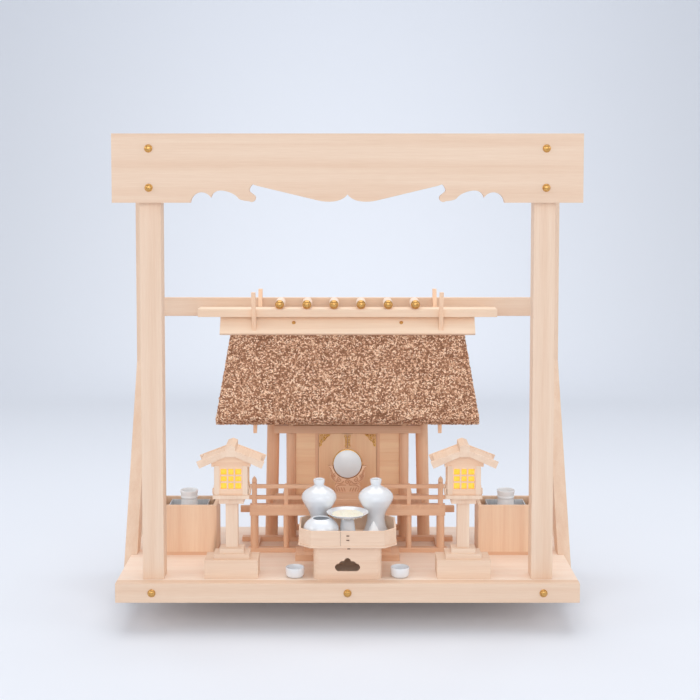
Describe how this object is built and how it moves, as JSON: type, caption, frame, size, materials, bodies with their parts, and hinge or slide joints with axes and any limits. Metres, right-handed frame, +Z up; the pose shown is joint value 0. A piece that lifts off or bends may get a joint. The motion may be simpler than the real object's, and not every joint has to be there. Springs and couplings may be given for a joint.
{
  "type": "household altar",
  "caption": "Pale wooden household altar: a framed shelf with a cloud-cut front board, holding a thatched shrine with hinged doors, lanterns, a footed tray with vessels, and vase boxes.",
  "frame": {"origin": "middle of the shelf's underside", "axes": "+X to the right as seen from the front, +Y to the back (the wall side), +Z up"},
  "size_m": [0.78, 0.345, 0.763],
  "materials": {
    "frame_wood": "planed and unfinished",
    "shrine_wood": "planed and unfinished",
    "lantern_wood": "planed and unfinished",
    "tray_wood": "planed and unfinished",
    "box_wood": "planed and unfinished",
    "thatch": "rough, fine layered chips",
    "gilt_metal": "polished gilt",
    "mirror_face": "polished",
    "yellow_paper": "matt",
    "white_porcelain": "glossy glaze",
    "rice_grain": "matt, granular",
    "packed_salt": "matt, fine grained",
    "grey_metal": "satin grey"
  },
  "bodies": {
    "altar": {"shelf_board": "frame_wood", "shelf_front_board": "frame_wood", "front_posts": "frame_wood", "back_posts": "frame_wood", "braces": "frame_wood", "tie_rails": "frame_wood", "fascia_board": "frame_wood", "cross_beams": "shrine_wood", "side_beams": "shrine_wood", "platform_posts": "shrine_wood", "veranda_floor": "shrine_wood", "front_railings": "shrine_wood", "stair": "shrine_wood", "corner_columns": "shrine_wood", "ridge_columns": "shrine_wood", "eave_beams": "shrine_wood", "ridge_beam": "shrine_wood", "side_walls": "shrine_wood", "back_walls": "shrine_wood", "front_walls": "shrine_wood", "door_frame": "shrine_wood", "bargeboards": "shrine_wood", "ridge_slope_boards": "shrine_wood", "ridge_cover": "shrine_wood", "ridge_logs": "shrine_wood", "ridge_horns": "shrine_wood", "mirror_plinth": "shrine_wood", "mirror_stand": "shrine_wood", "lantern_bases": "lantern_wood", "lantern_shafts": "lantern_wood", "lantern_bodies": "lantern_wood", "lantern_roofs": "lantern_wood", "tray_foot": "tray_wood", "offering_tray": "tray_wood", "vase_boxes": "box_wood", "front_thatch": "thatch", "back_thatch": "thatch", "frame_studs": "gilt_metal", "log_caps": "gilt_metal", "mirror_rim": "gilt_metal", "mirror_disc": "mirror_face", "lantern_papers": "yellow_paper", "sake_bottles": "white_porcelain", "rice_dish": "white_porcelain", "water_jar": "white_porcelain", "salt_dish": "white_porcelain", "water_cups": "white_porcelain", "vases": "white_porcelain", "rice": "rice_grain", "salt_cone": "packed_salt", "box_liners": "grey_metal"},
    "left_leaf": {"left_door": "shrine_wood", "left_door_fittings": "gilt_metal"},
    "right_leaf": {"right_door": "shrine_wood", "right_door_fittings": "gilt_metal"}
  },
  "joints": [
    {"name": "left_door_hinge", "type": "hinge", "parent": "altar", "child": "left_leaf", "pos_m": [-0.053, 0.075, 0.1768], "axis": [0, 0, -1], "range_deg": [0, 110]},
    {"name": "right_door_hinge", "type": "hinge", "parent": "altar", "child": "right_leaf", "pos_m": [0.053, 0.075, 0.1768], "axis": [0, 0, 1], "range_deg": [0, 110]}
  ]
}
